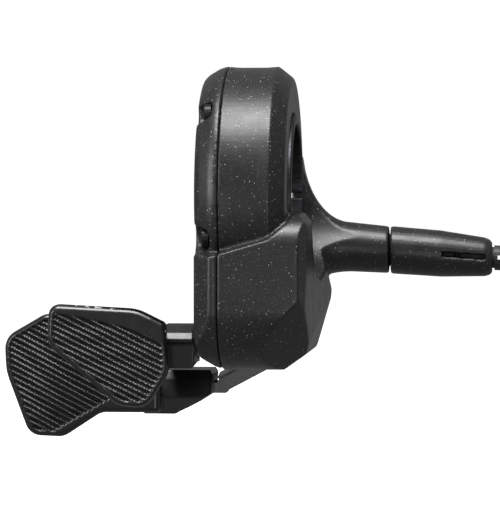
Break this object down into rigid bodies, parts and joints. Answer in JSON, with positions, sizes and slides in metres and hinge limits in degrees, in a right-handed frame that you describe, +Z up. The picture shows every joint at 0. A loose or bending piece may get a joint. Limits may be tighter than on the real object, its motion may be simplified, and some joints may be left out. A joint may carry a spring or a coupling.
{
  "type": "thumb shifter",
  "caption": "Electronic thumb shifter for a flat handlebar: speckled ring-shaped body with a clamp, two ribbed thumb paddles and a cable port stalk.",
  "frame": {"origin": "on the handlebar's axis, in the middle of the ring-shaped body", "axes": "+X along the handlebar towards the cable stalk and the stem, -Y towards the rider, +Z up"},
  "size_m": [0.0759, 0.0408, 0.057],
  "materials": {
    "body": "black plastic with fine bright speckles",
    "cover": "black plastic with fine bright speckles",
    "arm": "satin black plastic",
    "pad": "satin black ribbed pad",
    "rubber": "black rubber",
    "band": "black anodised",
    "steel": "bright plated",
    "plate": "dark brushed",
    "brass": "polished",
    "board": "green laminate",
    "switch": "dark grey",
    "cream": "natural plastic"
  },
  "bodies": {
    "housing": {"main_housing": "body", "left_cover": "cover", "cover_screw_1": "steel", "cover_screw_2": "steel", "cover_screw_3": "steel", "cover_screw_4": "steel", "clamp_band": "band", "clamp_bolt": "steel", "clamp_nut": "steel", "hub_spacer": "cream", "hub_retainer": "cream", "upper_stop_pin": "steel", "lower_stop_pin": "steel", "circuit_board": "board", "upper_switch_case": "switch", "lower_switch_case": "switch", "upper_plunger_spring": "steel", "lower_plunger_spring": "steel", "inner_lead": "rubber", "port_socket": "cream", "port_pin_1": "brass", "port_pin_2": "brass", "port_sleeve": "body"},
    "upper_lever": {"upper_lever_plate": "plate", "upper_lever_arm": "arm", "upper_paddle": "pad", "upper_arm_screw": "steel"},
    "lower_lever": {"lower_lever_plate": "plate", "lower_lever_arm": "arm", "lower_paddle": "pad", "lower_arm_screw": "steel"},
    "upper_plunger": {"upper_switch_plunger": "cream"},
    "lower_plunger": {"lower_switch_plunger": "cream"},
    "port_plug": {"port_plug": "rubber", "plug_seal": "rubber"}
  },
  "joints": [
    {"name": "upper_lever_push", "type": "hinge", "parent": "housing", "child": "upper_lever", "pos_m": [-0.0044, 0, 0], "axis": [1, 0, 0], "range_deg": [0, 7], "stiffness_Nm_per_rad": 0.25, "springref_deg": -2.86},
    {"name": "lower_lever_push", "type": "hinge", "parent": "housing", "child": "lower_lever", "pos_m": [-0.001, 0, 0], "axis": [1, 0, 0], "range_deg": [0, 7], "stiffness_Nm_per_rad": 0.3, "springref_deg": -2.86},
    {"name": "upper_plunger_press", "type": "slide", "parent": "housing", "child": "upper_plunger", "axis": [0, 0, 1], "range_m": [-0.0019, 0], "deforming": ["upper_plunger_spring"]},
    {"name": "lower_plunger_press", "type": "slide", "parent": "housing", "child": "lower_plunger", "axis": [0, 0, 1], "range_m": [-0.0019, 0], "deforming": ["lower_plunger_spring"]},
    {"name": "port_plug_pull", "type": "slide", "parent": "housing", "child": "port_plug", "axis": [0.9973, 0, -0.0732], "range_m": [0, 0.012]}
  ],
  "couplings": [
    {"joint": "upper_plunger_press", "follows": "upper_lever_push", "m_per_rad": -0.0149},
    {"joint": "lower_plunger_press", "follows": "lower_lever_push", "m_per_rad": -0.0149}
  ]
}
